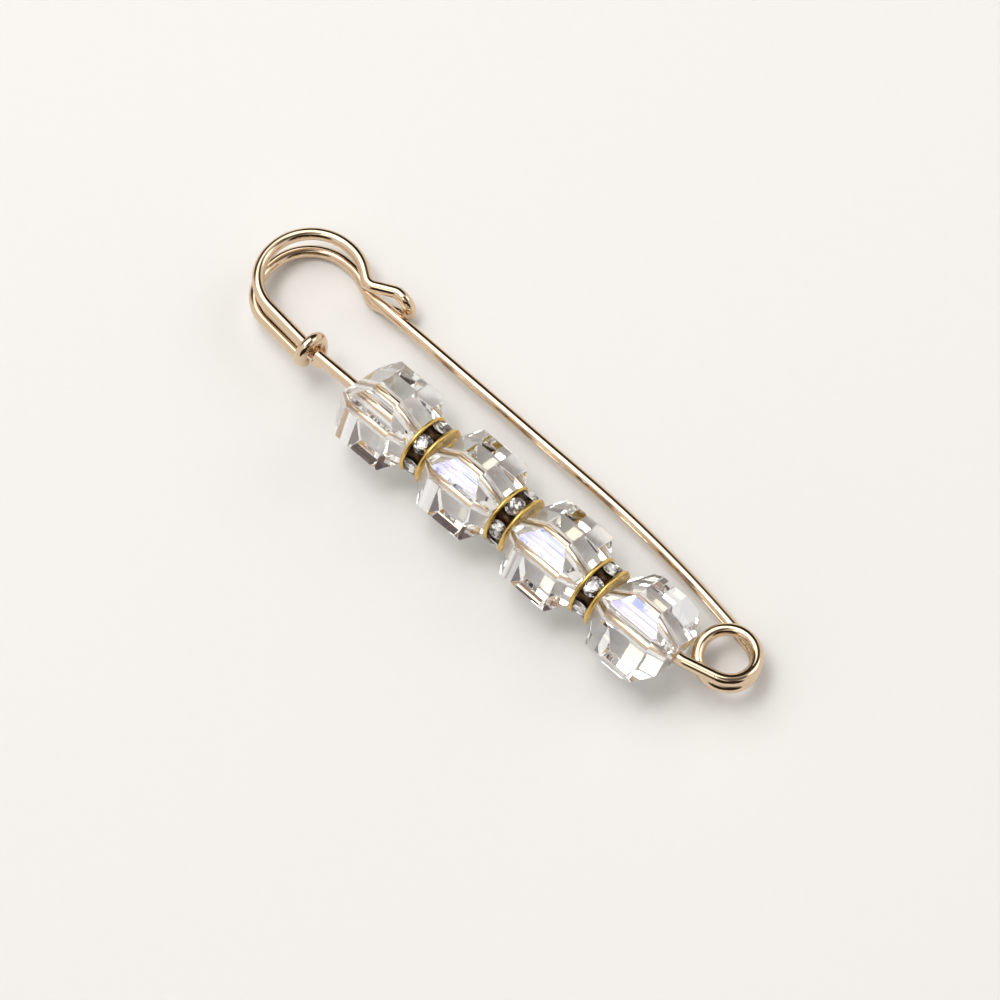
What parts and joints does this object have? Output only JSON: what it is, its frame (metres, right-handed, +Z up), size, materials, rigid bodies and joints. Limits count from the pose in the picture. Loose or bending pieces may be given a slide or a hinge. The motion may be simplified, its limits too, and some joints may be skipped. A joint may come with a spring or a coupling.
{
  "type": "safety pin brooch",
  "caption": "Wire safety pin brooch with a coil spring, a looped catch and cube crystal beads between rhinestone rondelles on its bar.",
  "frame": {"origin": "bottom centre of the resting brooch, on the surface that it lies on", "axes": "+X along the beaded bar toward the spring coil, +Y from the bar toward the needle, +Z up"},
  "size_m": [0.0626, 0.0158, 0.0094],
  "materials": {
    "gold_wire": "polished pale rose gold plating",
    "crystal": "clear, polished facets",
    "rondelle_gold": "polished yellow gold plating",
    "rhinestone": "clear, foil backed"
  },
  "bodies": {
    "pin_frame": {"frame_wire": "gold_wire", "spring_coil": "gold_wire", "crystal_bead_1": "crystal", "crystal_bead_2": "crystal", "crystal_bead_3": "crystal", "crystal_bead_4": "crystal", "rondelle_1": "rondelle_gold", "rondelle_2": "rondelle_gold", "rondelle_3": "rondelle_gold", "rhinestone_1_1": "rhinestone", "rhinestone_1_2": "rhinestone", "rhinestone_1_3": "rhinestone", "rhinestone_1_4": "rhinestone", "rhinestone_1_5": "rhinestone", "rhinestone_1_6": "rhinestone", "rhinestone_2_1": "rhinestone", "rhinestone_2_2": "rhinestone", "rhinestone_2_3": "rhinestone", "rhinestone_2_4": "rhinestone", "rhinestone_2_5": "rhinestone", "rhinestone_2_6": "rhinestone", "rhinestone_3_1": "rhinestone", "rhinestone_3_2": "rhinestone", "rhinestone_3_3": "rhinestone", "rhinestone_3_4": "rhinestone", "rhinestone_3_5": "rhinestone", "rhinestone_3_6": "rhinestone"},
    "needle": {"needle": "gold_wire"}
  },
  "joints": [
    {"name": "needle_swing", "type": "hinge", "parent": "pin_frame", "child": "needle", "pos_m": [0.02807, 0.00009, 0.00326], "axis": [0, 0, -1], "range_deg": [0, 36], "stiffness_Nm_per_rad": 0.4, "deforming": ["spring_coil"]}
  ]
}
